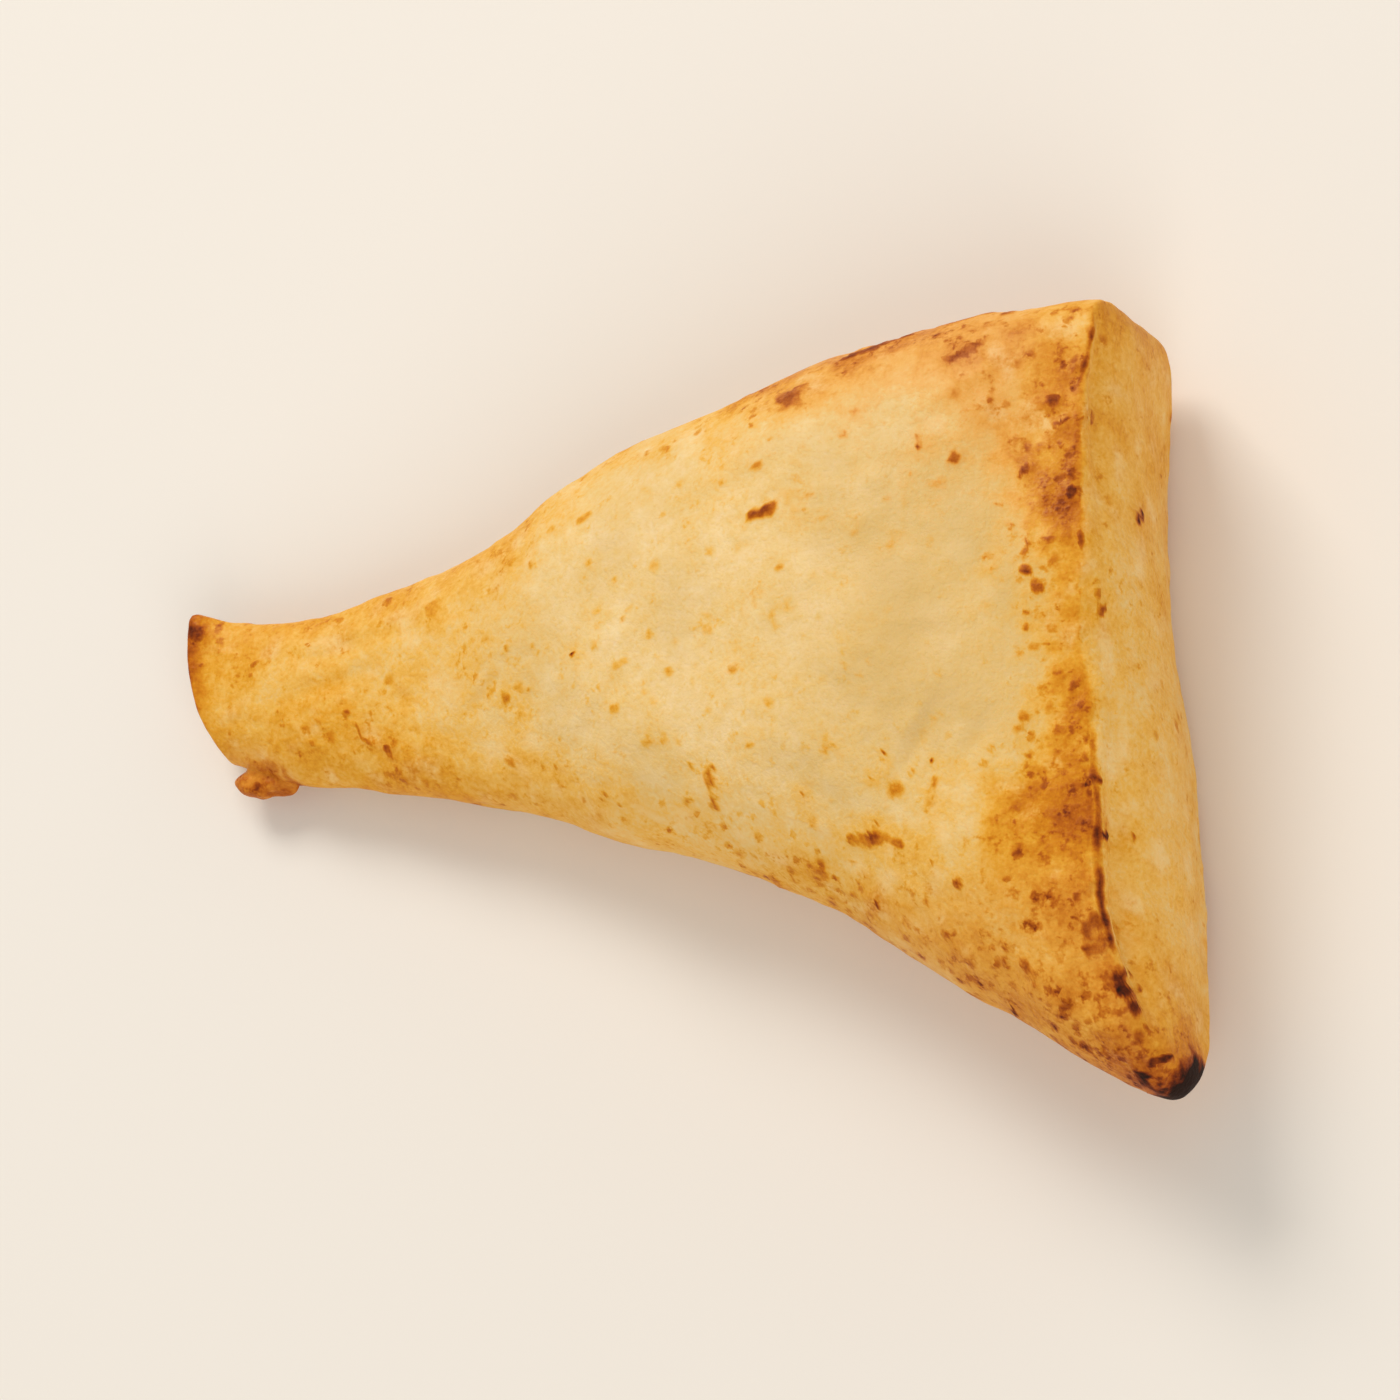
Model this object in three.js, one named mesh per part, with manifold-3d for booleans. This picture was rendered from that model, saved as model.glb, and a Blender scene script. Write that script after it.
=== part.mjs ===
// A baked samosa: one sheet of thin dough folded round its filling into a three-cornered parcel.
// It lies on its back. Its long tail points along -X and ends in a flattened tube. Its filled
// end is a flat wall on +X, between a full corner on +Y and a pinched corner on -Y.
// The face is +Z. It stops at the wall in a raw edge, a lip, that lies over the tucked-in wall.
// Units are millimetres.

import * as THREE from "three";
import Module from "manifold-3d";

// ---------------------------------------------------------------- driving dimensions

const SHEET = 1.0; // thickness of the baked dough where its raw edge shows
const BACK_ROUNDING = 3.2; // radius of the fold between the back and the wall
const TUBE_DEPTH = 3.2; // depth of the open end of the tail
const FLAKE_SIZE = [6.0, 3.4, 2.6]; // the crumb of burnt dough under the tail's end
const FLAKE_PLACE = [4.6, -7.1, 3.0];

// The two long folds, from the tail to the wall.
const NORTH_FOLD = [
  [-0.7, 6.9, 5.6],
  [5.0, 5.8, 5.6],
  [11.5, 5.3, 6.2],
  [17.0, 7.0, 7.0],
  [23.3, 8.7, 7.8],
  [30.0, 10.1, 8.9],
  [36.5, 13.8, 9.9],
  [43.5, 17.2, 10.8],
  [52.0, 19.1, 11.6],
  [62.0, 21.3, 12.2],
  [75.0, 22.9, 12.6],
  [83.6, 23.0, 12.0],
  [86.4, 22.5, 11.8],
];
const SOUTH_FOLD = [
  [1.6, -5.6, 3.6],
  [9.0, -8.3, 4.2],
  [22.5, -11.2, 5.8],
  [38.0, -15.8, 7.4],
  [53.0, -21.8, 8.8],
  [66.0, -29.7, 10.2],
  [80.0, -38.8, 11.4],
  [86.4, -42.4, 11.5],
  [89.2, -43.4, 11.4],
  [90.8, -41.8, 11.2],
];

// The raw edge of the face, and the fold between the wall and the back, from +Y to -Y.
const FACE_EDGE = [
  [85.4, 20.8, 20.4],
  [85.0, 13.0, 21.6],
  [85.0, 0.0, 21.8],
  [85.7, -15.0, 21.5],
  [86.2, -26.0, 20.8],
  [86.6, -32.0, 19.9],
  [87.9, -36.8, 18.7],
];
const BACK_EDGE = [
  [86.3, 21.2, 4.4],
  [86.4, 19.0, BACK_ROUNDING],
  [85.7, 10.0, BACK_ROUNDING],
  [86.1, -1.0, BACK_ROUNDING],
  [87.8, -11.0, BACK_ROUNDING],
  [89.0, -22.0, BACK_ROUNDING],
  [89.8, -31.0, 4.2],
  [90.6, -38.8, 6.4],
];

// Each pair is a share of the length from the tail, then a height above or below the folds,
// or the squareness of the section there (2 is an ellipse). The back would reach below the
// table, and is pressed flat where it rests.
const FACE_HEIGHT = [
  [0, 2.3],
  [0.1, 3.2],
  [0.25, 5.2],
  [0.45, 9.2],
  [0.65, 11.8],
  [0.82, 11.4],
  [0.93, 10.2],
  [1, 9.3],
];
const BACK_DEPTH = [
  [0, 2.2],
  [0.1, 3.2],
  [0.25, 5.6],
  [0.45, 9.4],
  [0.65, 12.0],
  [0.85, 13.2],
  [1, 13.4],
];
const NORTH_SQUARENESS = [
  [0, 2.3],
  [0.3, 2.2],
  [0.6, 2.4],
  [0.85, 3.4],
  [1, 6.0],
];
const SOUTH_SQUARENESS = [
  [0, 2.2],
  [0.3, 2.1],
  [0.6, 2.1],
  [0.85, 2.2],
  [1, 2.5],
];

// Mesh density.
const STATIONS = 56; // sections along the length
const ACROSS = 30; // steps across the face, and across the back
const ROWS = [0, 0.05, 0.1, 0.16, 0.26, 0.4, 0.56, 0.72, 0.86, 1]; // steps down each fold and the wall

// ---------------------------------------------------------------- small helpers

const { lerp, smoothstep, clamp } = THREE.MathUtils;

const curveThrough = (points) =>
  new THREE.CatmullRomCurve3(
    points.map(([x, y, z]) => new THREE.Vector3(x, y, z)),
    false,
    "centripetal",
  );

// A smooth function of one number through the given [number, value] pairs.
function valueAlong(pairs) {
  const interpolant = new THREE.CubicInterpolant(
    pairs.map(([at]) => at),
    pairs.map(([, value]) => value),
    1,
  );
  return (at) => interpolant.evaluate(clamp(at, 0, 1))[0];
}

// A bump of height 1 at the centre that fades out over the radius.
const bump = (distance, radius) => Math.exp(-((distance / radius) ** 2));

// ---------------------------------------------------------------- uneven dough

// Ripples in the dough: [wavelength, direction in degrees, phase, height].
const RIPPLES = [
  [31, 20, 0.4, 0.3],
  [23, 105, 2.1, 0.26],
  [17, 152, 4.4, 0.18],
  [12, 63, 1.2, 0.12],
  [8.5, 128, 3.3, 0.08],
];

function ripple(x, y) {
  let height = 0;
  for (const [wavelength, degrees, phase, size] of RIPPLES) {
    const angle = THREE.MathUtils.degToRad(degrees);
    const travel = x * Math.cos(angle) + y * Math.sin(angle);
    height += size * Math.sin((2 * Math.PI * travel) / wavelength + phase);
  }
  return height;
}

// Lumps and hollows that the filling leaves in the face: [x, y, radius, height].
const FACE_LUMPS = [
  [58, 2, 9, 0.7],
  [66, -13, 8, 0.6],
  [47, -4, 7, -0.45],
  [73, 6, 7, -0.55],
  [61, 14, 6, 0.5],
  [77, -22, 6, 0.45],
  [34, 1, 6, 0.35],
  [80, -8, 5, -0.4],
];

function lumps(x, y) {
  return FACE_LUMPS.reduce(
    (height, [cx, cy, radius, size]) =>
      height + size * bump(Math.hypot(x - cx, y - cy), radius),
    0,
  );
}

// The raw edge of the face wanders a little.
const wander = (y) =>
  0.2 * Math.sin(y / 3.1 + 0.6) + 0.15 * Math.sin(y / 1.7 + 2.0) + 0.1 * Math.sin(y / 0.9);

// ---------------------------------------------------------------- sections

const northFold = curveThrough(NORTH_FOLD);
const southFold = curveThrough(SOUTH_FOLD);
const faceEdge = curveThrough(FACE_EDGE);
const backEdge = curveThrough(BACK_EDGE);
const faceHeight = valueAlong(FACE_HEIGHT);
const backDepth = valueAlong(BACK_DEPTH);
const northSquareness = valueAlong(NORTH_SQUARENESS);
const southSquareness = valueAlong(SOUTH_SQUARENESS);

// The places in a section's loop of points: the face from north to south, the south fold,
// the back from south to north, the north fold.
const LOOP = 2 * ACROSS + 2 * (ROWS.length - 1);
const SOUTH_START = ACROSS;
const BACK_START = ACROSS + ROWS.length - 1;
const NORTH_START = BACK_START + ACROSS;

// The place across the thickness from a place.
const mirrored = (place) => (BACK_START + ACROSS - place + LOOP) % LOOP;

// However square its folds are, a section is this square over the middle of the face and back.
const CROWN_SQUARENESS = 2.2;
const CROWN_SHARE = 0.5;
const CROWN_FADE = 6;

// A point of the unit section: across runs from -1 on the south fold to 1 on the north fold,
// height from -1 on the back to 1 on the face.
function unitPoint(angle, along) {
  const c = Math.abs(Math.cos(angle));
  const s = Math.abs(Math.sin(angle));
  const square = Math.cos(angle) > 0 ? northSquareness(along) : southSquareness(along);
  const blend = lerp(square, CROWN_SQUARENESS, CROWN_SHARE * s ** CROWN_FADE);
  const reach = (c ** blend + s ** blend) ** (-1 / blend);
  return [reach * Math.cos(angle), reach * Math.sin(angle)];
}

// The angle at which a fold ends and the face or back starts, in degrees: on a round fold, and
// on a square one, whose corner is near 45 degrees. Then the squareness of each.
const FOLD_ANGLES = [27, 44];
const FOLD_SQUARENESS = [2.3, 5];

const foldAngle = (squareness) =>
  THREE.MathUtils.degToRad(lerp(...FOLD_ANGLES, smoothstep(squareness, ...FOLD_SQUARENESS)));

function sectionPoint(angle, along) {
  const north = northFold.getPointAt(along);
  const south = southFold.getPointAt(along);
  const [across, height] = unitPoint(angle, along);
  const point = south.lerp(north, (1 + across) / 2);
  point.z += height * (height > 0 ? faceHeight(along) : backDepth(along));
  return point;
}

const SIDE_STEPS = 60; // straight steps in which a side is measured

// The points of a section, evenly spaced on each of its four sides.
function sectionLoop(along) {
  const north = foldAngle(northSquareness(along));
  const south = foldAngle(southSquareness(along));
  const even = Array.from({ length: ACROSS + 1 }, (_, i) => i / ACROSS);
  const sides = [
    [north, Math.PI - south, even],
    [Math.PI - south, Math.PI + south, ROWS],
    [Math.PI + south, 2 * Math.PI - north, even],
    [2 * Math.PI - north, 2 * Math.PI + north, ROWS.map((r) => 1 - r).reverse()],
  ];
  return sides.flatMap(([from, to, shares]) => {
    const side = new THREE.CurvePath();
    for (let i = 0; i < SIDE_STEPS; i++) {
      const start = sectionPoint(lerp(from, to, i / SIDE_STEPS), along);
      const end = sectionPoint(lerp(from, to, (i + 1) / SIDE_STEPS), along);
      side.add(new THREE.LineCurve3(start, end));
    }
    return shares.slice(0, -1).map((share) => side.getPoint(share));
  });
}

// The direction out of the dough at a point of a section.
function outwards(point, along) {
  const north = northFold.getPointAt(along);
  const south = southFold.getPointAt(along);
  const halfWidth = north.distanceTo(south) / 2;
  const middle = south.lerp(north, 0.5);
  const height = point.z > middle.z ? faceHeight(along) : backDepth(along);
  const y = (point.y - middle.y) / halfWidth ** 2;
  const z = (point.z - middle.z) / height ** 2;
  return new THREE.Vector3(0, y, z).normalize();
}

// ---------------------------------------------------------------- the two ends

// How far each point of the last section moves to meet the face edge and the back edge. The
// middle of each fold stays where it is.
function wallFit(loop) {
  const fit = loop.map(() => new THREE.Vector3());
  for (let i = 0; i <= ACROSS; i++) {
    const back = mirrored(i);
    fit[i].subVectors(faceEdge.getPointAt(i / ACROSS), loop[i]);
    fit[back].subVectors(backEdge.getPointAt(i / ACROSS), loop[back]);
  }
  for (let r = 1; r < ROWS.length - 1; r++) {
    const edges = 1 - Math.sin(Math.PI * ROWS[r]);
    fit[SOUTH_START + r].lerpVectors(fit[SOUTH_START], fit[BACK_START], ROWS[r]).multiplyScalar(edges);
    fit[LOOP - r].lerpVectors(fit[0], fit[NORTH_START], ROWS[r]).multiplyScalar(edges);
  }
  return fit;
}

// How much of the wall's fit a section takes: the face runs into its edge slowly, and the
// back stays low and turns up round its fold.
const FACE_RUN_IN = 9;
const BACK_RUN_IN = 26;

function wallShare(place, along) {
  const face = along ** FACE_RUN_IN;
  const back = along ** BACK_RUN_IN;
  if (place <= SOUTH_START) return face;
  if (place < BACK_START) return lerp(face, back, ROWS[place - SOUTH_START]);
  if (place <= NORTH_START) return back;
  return lerp(face, back, ROWS[LOOP - place]);
}

// The tail's end bows outwards, and its +Y corner flares up.
const TAIL_BOW = 1.5;
const TAIL_FLARE = 1.3;

function bendTail(point, share) {
  const [north, south] = [NORTH_FOLD[0], SOUTH_FOLD[0]];
  const across = clamp(lerp(-1, 1, (point.y - south[1]) / (north[1] - south[1])), -1, 1);
  point.x -= share * TAIL_BOW * (1 - across ** 2) ** 0.8;
  point.z += share * TAIL_FLARE * clamp(across, 0, 1) ** 3;
  return point;
}

// ---------------------------------------------------------------- the outer surface

// Sections lie closer together at both ends.
const END_CROWDING = 0.45;
const stationAt = (s) => {
  const even = s / STATIONS;
  return even - (END_CROWDING * Math.sin(2 * Math.PI * even)) / (2 * Math.PI);
};

const TAIL_RUN_OUT = 14;
const TAIL_CALM = 0.12; // the share of the length at the tail over which the ripples grow
const WALL_CALM = [0.9, 0.6]; // where they start to fade towards the wall, and by how much
const BACK_PATTERN_SHIFT = 40; // the back's ripples differ from the face's

function outerLoops() {
  const wall = wallFit(sectionLoop(1));
  return Array.from({ length: STATIONS + 1 }, (_, s) => {
    const along = stationAt(s);
    const fade = WALL_CALM[1] * smoothstep(along, WALL_CALM[0], 1);
    const calm = smoothstep(along, 0, TAIL_CALM) * (1 - fade);
    return sectionLoop(along).map((point, place) => {
      const onFace = place <= SOUTH_START;
      const onBack = place >= BACK_START && place <= NORTH_START;
      let swell = ripple(point.x, point.y + (onBack ? BACK_PATTERN_SHIFT : 0));
      if (onFace) swell += lumps(point.x, point.y);
      point.addScaledVector(outwards(point, along), calm * swell);
      point.addScaledVector(wall[place], wallShare(place, along));
      bendTail(point, (1 - along) ** TAIL_RUN_OUT);
      point.z = Math.max(point.z, 0);
      if (onFace && s === STATIONS)
        point.x += wander(point.y) * Math.sin((Math.PI * place) / ACROSS) ** 0.5;
      return point;
    });
  });
}

// ---------------------------------------------------------------- the wall

// Down the wall from the face's raw edge to the back: how far each row stands out, in X, and
// how far it is dropped, in Z. Where the lip is open, the first rows are its edge and the groove
// under it. Where it is pressed to the wall, they are a plain round fold.
const OPEN_LIP = [
  [0, 0],
  [0.1, 0.1 * SHEET],
  [-0.9, 0.35 * SHEET],
  [0.35, 0.5 * SHEET],
  [1.0, 0.3],
];
const PRESSED_LIP = [
  [0, 0],
  [0.4, 0.1],
  [0.7, 0.2],
  [0.95, 0.25],
  [1.15, 0.15],
];
const WALL_SWELL = [1.3, 1.1, 0.7, 0.3, 0];
const GROOVE_ROW = 2;
// How open the lip is, against the share of its length from the full corner.
const LIP_OPENING = [
  [0, 0.9],
  [0.18, 0.8],
  [0.32, 0.25],
  [0.5, 0.1],
  [0.62, 0.45],
  [0.72, 0.9],
  [1, 1],
];
const SLIT_MIDDLE = 0.88; // the share of the lip, from north to south, where it stands open
const SLIT_REACH = 0.1;
const SLIT_DEPTH = 1.3;

const lipOpening = valueAlong(LIP_OPENING);

// How far a point of the wall stands out and is dropped.
function wallOffset(row, share) {
  if (row >= OPEN_LIP.length) return [WALL_SWELL[row - OPEN_LIP.length], 0];
  const open = lipOpening(share);
  return [0, 1].map((i) => lerp(PRESSED_LIP[row][i], OPEN_LIP[row][i], open));
}

// The wall's grid of points, from north to south in each row: a patch stretched between the
// last section's four sides.
function wallPatch(loop) {
  const [northFace, southFace] = [loop[0], loop[SOUTH_START]];
  const [northBack, southBack] = [loop[NORTH_START], loop[BACK_START]];
  return ROWS.map((level, r) =>
    Array.from({ length: ACROSS + 1 }, (_, i) => {
      const share = i / ACROSS;
      const point = loop[i].clone().lerp(loop[mirrored(i)], level);
      point.add(loop[(LOOP - r) % LOOP].clone().lerp(loop[SOUTH_START + r], share));
      point.sub(
        northFace.clone().lerp(southFace, share)
          .lerp(northBack.clone().lerp(southBack, share), level),
      );
      const inside = Math.max(Math.sin(Math.PI * share), 0) ** 0.5;
      const slit = r === GROOVE_ROW ? SLIT_DEPTH * bump(share - SLIT_MIDDLE, SLIT_REACH) : 0;
      const [out, drop] = wallOffset(r, share);
      point.x += inside * (out - slit);
      point.z -= inside * drop;
      return point;
    }),
  );
}

// ---------------------------------------------------------------- the open end of the tail

// Each ring is drawn in from the tail's outline: share of its width, share of its height, depth.
const TUBE_RINGS = [
  [0.94, 0.84, -0.15],
  [0.8, 0.5, 0.35],
  [0.74, 0.42, 0.5 * TUBE_DEPTH],
  [0.6, 0.22, TUBE_DEPTH],
];

function tubeRings() {
  const [north, south] = [northFold.getPointAt(0), southFold.getPointAt(0)];
  const loop = sectionLoop(0);
  return TUBE_RINGS.map(([width, height, depth]) =>
    loop.map((point) => {
      const share = (point.y - south.y) / (north.y - south.y);
      const middle = south.clone().lerp(north, share);
      const drawn = south.clone().lerp(north, lerp(0.5, share, width));
      drawn.z += height * (point.z - middle.z);
      bendTail(drawn, 1);
      drawn.x += depth;
      return drawn;
    }),
  );
}

// ---------------------------------------------------------------- the parcel as one closed mesh

class Surface {
  constructor() {
    this.positions = [];
    this.triangles = [];
  }
  add(point) {
    this.positions.push(point.x, point.y, point.z);
    return this.positions.length / 3 - 1;
  }
  quad(a, b, c, d) {
    this.triangles.push(a, b, c, a, c, d);
  }
  // Quads between two closed rings of as many points.
  band(ring, next) {
    for (let i = 0; i < ring.length; i++) {
      const j = (i + 1) % ring.length;
      this.quad(ring[i], ring[j], next[j], next[i]);
    }
  }
  // Closes a ring with a fan round its centre.
  close(ring) {
    const centre = new THREE.Vector3();
    for (const index of ring)
      centre.add(new THREE.Vector3().fromArray(this.positions, 3 * index));
    const middle = this.add(centre.divideScalar(ring.length));
    for (let i = 0; i < ring.length; i++)
      this.triangles.push(ring[i], middle, ring[(i + 1) % ring.length]);
  }
}

function addWall(surface, loop, ring) {
  const bottom = ROWS.length - 1;
  const grid = wallPatch(loop).map((row, r) =>
    row.map((point, i) => {
      if (r === 0) return ring[i];
      if (r === bottom) return ring[mirrored(i)];
      if (i === 0) return ring[LOOP - r];
      if (i === ACROSS) return ring[SOUTH_START + r];
      return surface.add(point);
    }),
  );
  for (let r = 0; r < bottom; r++)
    for (let i = 0; i < ACROSS; i++)
      surface.quad(grid[r][i], grid[r][i + 1], grid[r + 1][i + 1], grid[r + 1][i]);
}

function addTube(surface, ring) {
  let outer = ring;
  for (const loop of tubeRings()) {
    const inner = loop.map((point) => surface.add(point));
    surface.band(inner, outer);
    outer = inner;
  }
  surface.close(outer);
}

function parcelSurface() {
  const surface = new Surface();
  const loops = outerLoops();
  const rings = loops.map((loop) => loop.map((point) => surface.add(point)));
  for (let s = 0; s < STATIONS; s++) surface.band(rings[s], rings[s + 1]);
  addWall(surface, loops[STATIONS], rings[STATIONS]);
  addTube(surface, rings[0]);
  return surface;
}

// ---------------------------------------------------------------- the burnt flake

// Waves in the crumb's outline: [how many go round it, phase, height as a share of its radius].
const FLAKE_WAVES = [
  [3, 1.0, 0.1],
  [5, 2.6, 0.09],
  [8, 0.3, 0.05],
];
const FLAKE_RINGS = 7;
const FLAKE_AROUND = 18;
const FLAKE_TWIST = 1.6; // how far the waves turn from the crumb's top to its bottom

// A crumb of dough with an uneven outline.
function flakeSurface() {
  const surface = new Surface();
  const [rings, around] = [FLAKE_RINGS, FLAKE_AROUND];
  const [length, width, thickness] = FLAKE_SIZE;
  const point = (polar, turn) => {
    const rough = FLAKE_WAVES.reduce(
      (sum, [count, phase, height]) =>
        sum + height * Math.sin(count * turn + phase + FLAKE_TWIST * polar),
      1,
    );
    return new THREE.Vector3(
      FLAKE_PLACE[0] + (length / 2) * rough * Math.sin(polar) * Math.cos(turn),
      FLAKE_PLACE[1] + (width / 2) * rough * Math.sin(polar) * Math.sin(turn),
      FLAKE_PLACE[2] + (thickness / 2) * Math.cos(polar),
    );
  };
  const loops = Array.from({ length: rings }, (_, r) =>
    Array.from({ length: around }, (_, i) =>
      surface.add(point((Math.PI * (r + 1)) / (rings + 1), (2 * Math.PI * i) / around))),
  );
  for (let r = 1; r < rings; r++) surface.band(loops[r], loops[r - 1]);
  surface.close(loops[0].slice().reverse());
  surface.close(loops[rings - 1]);
  return surface;
}

// ---------------------------------------------------------------- the solid

const wasm = await Module();
wasm.setup();

function toSolid(surface) {
  return new wasm.Manifold(
    new wasm.Mesh({
      numProp: 3,
      vertProperties: new Float32Array(surface.positions),
      triVerts: new Uint32Array(surface.triangles),
    }),
  );
}

function toGeometry(solid) {
  const { vertProperties, triVerts } = solid.getMesh();
  const geometry = new THREE.BufferGeometry();
  geometry.setAttribute("position", new THREE.BufferAttribute(vertProperties, 3));
  geometry.setIndex(new THREE.BufferAttribute(triVerts, 1));
  geometry.computeVertexNormals();
  return geometry;
}

// The origin is under the middle of the parcel, on the table.
function centred(geometry) {
  geometry.computeBoundingBox();
  const middle = geometry.boundingBox.getCenter(new THREE.Vector3());
  return geometry.translate(-middle.x, -middle.y, -geometry.boundingBox.min.z);
}

const bakedDough = new THREE.MeshStandardMaterial({
  name: "baked dough",
  color: "#e2b96f",
  roughness: 0.55,
  metalness: 0,
});

const samosa = new THREE.Mesh(
  centred(toGeometry(toSolid(parcelSurface()).add(toSolid(flakeSurface())))),
  bakedDough,
);
samosa.name = "samosa";

const model = new THREE.Group();
model.add(samosa);

export default model;
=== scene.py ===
"""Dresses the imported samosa: dough in full relief with its baked colours, a plain floor and soft light."""

import math

import bmesh
import bpy
import numpy as np
from mathutils import Matrix, Vector, noise


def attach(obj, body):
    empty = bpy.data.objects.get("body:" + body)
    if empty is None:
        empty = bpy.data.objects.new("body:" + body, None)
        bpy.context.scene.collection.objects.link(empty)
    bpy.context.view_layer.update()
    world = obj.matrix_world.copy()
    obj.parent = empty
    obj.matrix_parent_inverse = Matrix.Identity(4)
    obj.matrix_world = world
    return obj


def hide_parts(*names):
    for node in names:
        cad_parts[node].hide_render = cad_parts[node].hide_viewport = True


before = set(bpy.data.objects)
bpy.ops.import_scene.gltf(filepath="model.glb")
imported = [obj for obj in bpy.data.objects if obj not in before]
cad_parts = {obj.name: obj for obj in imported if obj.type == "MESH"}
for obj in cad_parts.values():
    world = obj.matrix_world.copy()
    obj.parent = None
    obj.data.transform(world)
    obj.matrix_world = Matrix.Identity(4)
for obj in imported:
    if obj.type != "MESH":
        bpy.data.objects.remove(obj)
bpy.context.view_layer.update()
MM = 0.001

# ---------------------------------------------------------------- where things are, in mm

# The raw edge of the face, from the pinched corner to the full one: [y, x, z].
LIP = [
    (-28.4, 43.6, 17.9),
    (-26.7, 43.2, 18.7),
    (-21.9, 41.9, 19.9),
    (-15.9, 41.5, 20.8),
    (-4.9, 41.0, 21.5),
    (10.1, 40.3, 21.8),
    (23.1, 40.3, 21.6),
    (30.9, 40.7, 20.4),
]
# The two long folds seen from above, from the tail to the wall: [x, y].
NORTH_FOLD = [
    (-45.4, 17.0),
    (-39.7, 15.9),
    (-33.2, 15.4),
    (-27.7, 17.1),
    (-21.4, 18.8),
    (-14.7, 20.2),
    (-8.2, 23.9),
    (-1.2, 27.3),
    (7.3, 29.2),
    (17.3, 31.4),
    (30.3, 33.0),
    (41.7, 32.6),
]
SOUTH_FOLD = [
    (-43.1, 4.5),
    (-35.7, 1.8),
    (-22.2, -1.1),
    (-6.7, -5.7),
    (8.3, -11.7),
    (21.3, -19.6),
    (35.3, -28.7),
    (41.7, -32.3),
    (44.5, -33.3),
]
TAIL_END = -46.0
PINCHED_TIP = (45.6, -32.6, 11.4)
BURNT_TIP = (45.5, -32.8, 9.6)
TAIL_CORNER = (-45.0, 15.3, 7.6)
FLAKE = (-40.1, 2.4, 3.0)

# Scorched marks on the face: [x, y, half length, half width, heading in degrees, darkness]. The strokes
# headed -50 to -70 beside the lip near the pinched corner are partly painted shade of the slit there.
FACE_MARKS = [
    (-44.9, 15.4, 0.8, 0.6, 90, 0.85),
    (-30.0, 6.5, 0.7, 0.5, 0, 0.62),
    (-30.0, 13.3, 1.3, 1.0, 20, 0.38),
    (-26.6, 3.1, 0.6, 0.4, -30, 0.7),
    (-21.0, 13.9, 1.6, 1.1, 25, 0.42),
    (-6.3, 7.3, 0.3, 0.3, 0, 1.1),
    (-4.8, -3.9, 0.5, 0.4, 0, 0.6),
    (-3.2, 26.0, 3.0, 0.8, 28, 0.42),
    (8.6, 27.6, 1.4, 0.8, 20, 0.55),
    (12.7, 16.4, 1.8, 0.75, 18, 0.7),
    (14.5, 26.3, 2.2, 1.8, 15, 0.66),
    (14.8, -12.7, 1.3, 0.8, -30, 0.6),
    (15.1, -7.4, 0.35, 0.3, 0, 0.75),
    (15.5, -14.5, 1.4, 0.4, -30, 0.45),
    (20.6, -16.2, 0.7, 0.35, -50, 0.9),
    (21.0, 30.6, 5.5, 0.6, 18, 0.75),
    (21.1, 28.2, 1.6, 1.0, 60, 0.42),
    (21.2, -11.4, 1.0, 0.45, -10, 0.74),
    (21.6, -11.7, 2.6, 0.8, -10, 0.6),
    (22.1, -7.2, 0.3, 0.25, 0, 0.9),
    (23.5, -5.2, 0.35, 0.3, 0, 0.8),
    (23.9, -12.4, 1.2, 0.6, -25, 0.6),
    (25.6, -13.1, 0.6, 0.5, -30, 0.65),
    (26.4, 20.3, 0.8, 0.7, 40, 0.82),
    (27.7, -6.5, 0.3, 0.25, 0, 0.8),
    (28.6, 28.0, 0.9, 0.7, 0, 0.6),
    (29.5, 32.4, 4.0, 0.5, 8, 0.6),
    (30.3, 28.4, 2.2, 1.0, 25, 0.72),
    (30.7, -20.4, 0.35, 0.35, 0, 0.72),
    (30.9, 25.5, 1.4, 0.9, 70, 0.36),
    (31.6, -25.4, 0.5, 0.4, 0, 0.95),
    (33.0, 9.3, 0.4, 0.35, 0, 0.8),
    (33.0, 32.2, 1.0, 0.4, 10, 0.6),
    (35.5, 17.8, 0.9, 0.8, 80, 0.76),
    (35.9, -13.2, 1.4, 0.8, 0, 0.4),
    (35.9, -10.7, 1.5, 0.6, 20, 0.4),
    (35.9, 8.9, 0.9, 0.6, 10, 0.82),
    (36.0, 22.4, 2.4, 1.6, 20, 0.43),
    (37.1, 7.3, 1.3, 0.7, 130, 0.7),
    (37.6, 23.5, 1.0, 0.8, 20, 0.85),
    (37.7, 11.5, 0.9, 0.7, 0, 0.6),
    (37.8, -26.4, 0.4, 0.35, 0, 0.85),
    (37.9, -21.5, 0.7, 0.5, 0, 0.6),
    (38.7, 21.7, 1.3, 0.5, 25, 0.75),
    (39.0, 19.5, 1.3, 0.4, 10, 0.65),
    (39.4, -20.2, 1.0, 0.6, 20, 0.76),
    (39.5, 15.5, 0.8, 0.7, 90, 0.85),
    (39.7, -18.6, 1.0, 0.6, 70, 0.74),
    (39.9, -30.2, 0.4, 0.3, 0, 0.7),
    (40.1, 21.9, 1.0, 0.5, 10, 0.7),
    (40.2, 11.5, 1.2, 0.4, 90, 0.75),
    (40.3, -21.4, 1.9, 1.1, 70, 0.72),
    (40.6, -21.4, 2.4, 1.5, 80, 0.57),
    (41.0, -22.3, 1.6, 1.2, 80, 0.64),
    (41.0, -20.6, 1.5, 1.1, 90, 0.66),
    (41.4, -30.4, 0.45, 0.35, 0, 0.8),
    (41.4, -26.6, 1.3, 0.8, -50, 0.5),
    (42.3, -25.3, 2.3, 1.2, -60, 0.66),
    (42.4, -24.8, 1.2, 0.7, -62, 0.9),
    (42.9, -26.0, 1.3, 0.6, -62, 0.95),
    (43.2, -32.4, 1.3, 0.8, 0, 1.0),
    (43.3, -27.2, 1.3, 0.5, -62, 0.85),
    (44.1, -28.8, 1.0, 0.3, -70, 0.62),
    (44.6, -31.0, 1.6, 0.5, 30, 0.86),
]
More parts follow.
